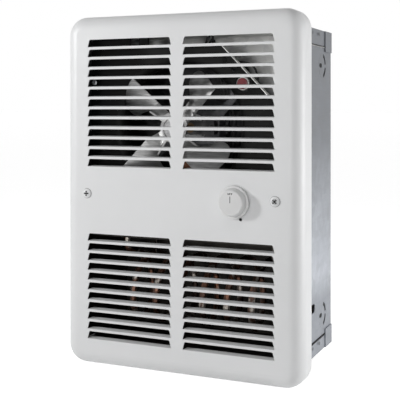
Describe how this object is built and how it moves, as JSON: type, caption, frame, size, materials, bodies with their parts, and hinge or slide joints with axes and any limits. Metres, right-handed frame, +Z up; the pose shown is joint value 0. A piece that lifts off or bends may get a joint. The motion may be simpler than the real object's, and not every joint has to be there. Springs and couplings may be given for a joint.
{
  "type": "recessed fan-forced wall heater",
  "caption": "Recessed fan-forced wall heater: louvred cover with a thermostat knob over a steel box with fan, motor and coiled element.",
  "frame": {"origin": "centre of the cover, in the plane of the wall surface", "axes": "+X to the viewer's right, +Y into the wall, +Z up"},
  "size_m": [0.29, 0.1515, 0.406],
  "materials": {
    "cover_paint": "baked off-white powder coat, satin",
    "mark_black": "matt black",
    "knob_white": "moulded white plastic, semi-gloss",
    "zinc_steel": "bright zinc-plated steel",
    "phenolic": "moulded brown phenolic",
    "galvanised": "galvanised sheet, faint spangle",
    "deck_black": "black enamel, satin",
    "aluminium": "stamped aluminium, mill finish",
    "hub_cast": "die-cast, matt",
    "shaft_steel": "ground steel",
    "rotor": "cast squirrel cage",
    "laminations": "stacked steel laminations, dark varnish",
    "nylon": "natural nylon",
    "copper_wire": "enamelled copper wire",
    "bronze": "sintered bronze",
    "element_sheath": "heat-tinted sheath, copper brown",
    "ceramic": "unglazed steatite",
    "switch_black": "moulded black",
    "bezel": "bright plated",
    "reset_red": "moulded dark red",
    "brass": "plain brass",
    "ground_green": "green dyed zinc",
    "lead_insulation": "silicone insulation"
  },
  "bodies": {
    "frame": {"front_cover": "cover_paint", "cover_screws": "cover_paint", "index_dot": "mark_black", "thermostat_body": "phenolic", "thermostat_nut": "zinc_steel", "thermostat_plate": "galvanised", "cover_brackets": "galvanised", "box_wrap": "galvanised", "box_top_cap": "galvanised", "box_bottom_cap": "galvanised", "deck_rails": "deck_black", "fan_deck": "deck_black", "deck_screws": "zinc_steel", "motor_stator": "laminations", "motor_bobbin": "nylon", "motor_winding": "copper_wire", "front_bearing_bracket": "zinc_steel", "rear_bearing_bracket": "zinc_steel", "motor_bearings": "bronze", "motor_bolts": "zinc_steel", "motor_bracket": "galvanised", "bracket_screws": "deck_black", "air_baffle": "galvanised", "heating_element": "element_sheath", "element_bushings": "ceramic", "element_terminals": "zinc_steel", "element_hangers": "zinc_steel", "limit_switch": "switch_black", "limit_bezel": "bezel", "terminal_block": "switch_black", "terminal_screws": "brass", "ground_screw": "ground_green", "motor_leads": "lead_insulation", "element_leads": "lead_insulation", "thermostat_leads": "lead_insulation"},
    "fan": {"fan_blades": "aluminium", "fan_hub": "hub_cast", "hub_set_screw": "zinc_steel", "motor_shaft": "shaft_steel", "motor_rotor": "rotor"},
    "control": {"knob": "knob_white", "thermostat_shaft": "shaft_steel"},
    "reset": {"reset_button": "reset_red"}
  },
  "joints": [
    {"name": "fan_spin", "type": "hinge", "parent": "frame", "child": "fan", "pos_m": [-0.017, -0.006, 0.0725], "axis": [0, 1, 0], "continuous": true},
    {"name": "knob_turn", "type": "hinge", "parent": "frame", "child": "control", "pos_m": [0.0685, -0.034, -0.0055], "axis": [0, 1, 0], "range_deg": [-180, 120]},
    {"name": "reset_press", "type": "slide", "parent": "frame", "child": "reset", "axis": [0, 1, 0], "range_m": [0, 0.0015], "stiffness_N_per_m": 400, "springref_m": -0.001}
  ]
}
